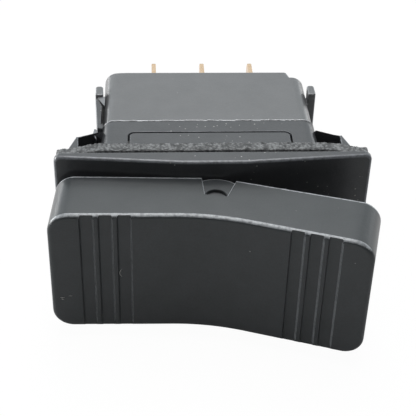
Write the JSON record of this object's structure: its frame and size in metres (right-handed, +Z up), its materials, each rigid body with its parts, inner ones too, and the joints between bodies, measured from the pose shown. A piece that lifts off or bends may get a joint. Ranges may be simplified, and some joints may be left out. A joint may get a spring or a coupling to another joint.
{
  "type": "panel rocker switch",
  "caption": "Snap-in panel rocker switch with a dished, grooved actuator, foam panel gasket, side snap wings and two rows of blade terminals.",
  "frame": {"origin": "centre of the flange's rear face, in the middle of the panel cut-out", "axes": "+Y through the panel to the rear, towards the terminals; +X along the flange's long side; +Z up, along its short side. The actuator faces -Y."},
  "size_m": [0.0513, 0.0631, 0.0276],
  "materials": {
    "bracket_plastic": "satin black moulding, fine spark texture",
    "base_plastic": "satin black moulding, smooth",
    "actuator_plastic": "satin black moulding, fine texture",
    "gasket_foam": "closed-cell foam, open cells on its cut edge",
    "seal_rubber": "matt black rubber",
    "rotor_plastic": "natural nylon",
    "plunger_plastic": "natural acetal",
    "spring_steel": "drawn spring wire",
    "contact_copper": "stamped copper alloy",
    "contact_silver": "silver contact alloy",
    "terminal_brass": "stamped brass, bare"
  },
  "bodies": {
    "frame": {"bracket": "bracket_plastic", "panel_gasket": "gasket_foam", "base_housing": "base_plastic", "base_seal": "seal_rubber", "fixed_contact_a1": "contact_silver", "fixed_contact_a3": "contact_silver", "fixed_contact_b1": "contact_silver", "fixed_contact_b3": "contact_silver", "terminal_a1": "terminal_brass", "terminal_a2": "terminal_brass", "terminal_a3": "terminal_brass", "terminal_b1": "terminal_brass", "terminal_b2": "terminal_brass", "terminal_b3": "terminal_brass"},
    "rocker": {"actuator": "actuator_plastic", "rotor": "rotor_plastic", "plunger_spring_a": "spring_steel", "plunger_spring_b": "spring_steel"},
    "plunger_a": {"plunger_a": "plunger_plastic"},
    "plunger_b": {"plunger_b": "plunger_plastic"},
    "contact_a": {"moving_contact_a": "contact_copper", "moving_rivet_a1": "contact_silver", "moving_rivet_a3": "contact_silver"},
    "contact_b": {"moving_contact_b": "contact_copper", "moving_rivet_b1": "contact_silver", "moving_rivet_b3": "contact_silver"}
  },
  "joints": [
    {"name": "rocker_pivot", "type": "hinge", "parent": "frame", "child": "rocker", "pos_m": [0, -0.00775, 0], "axis": [0, 0, 1], "range_deg": [0, 19]},
    {"name": "plunger_a_slide", "type": "slide", "parent": "rocker", "child": "plunger_a", "axis": [-0.165, -0.9863, 0], "range_m": [0, 0.0008], "stiffness_N_per_m": 30, "springref_m": -0.001, "deforming": ["plunger_spring_a"]},
    {"name": "plunger_b_slide", "type": "slide", "parent": "rocker", "child": "plunger_b", "axis": [-0.165, -0.9863, 0], "range_m": [0, 0.0008], "stiffness_N_per_m": 30, "springref_m": -0.001, "deforming": ["plunger_spring_b"]},
    {"name": "contact_a_rock", "type": "hinge", "parent": "frame", "child": "contact_a", "pos_m": [0, 0.013, 0], "axis": [0, 0, 1], "range_deg": [-12, 0]},
    {"name": "contact_b_rock", "type": "hinge", "parent": "frame", "child": "contact_b", "pos_m": [0, 0.013, 0], "axis": [0, 0, 1], "range_deg": [-12, 0]}
  ],
  "couplings": [
    {"joint": "contact_a_rock", "follows": "rocker_pivot", "ratio": -0.63158},
    {"joint": "contact_b_rock", "follows": "rocker_pivot", "ratio": -0.63158}
  ]
}
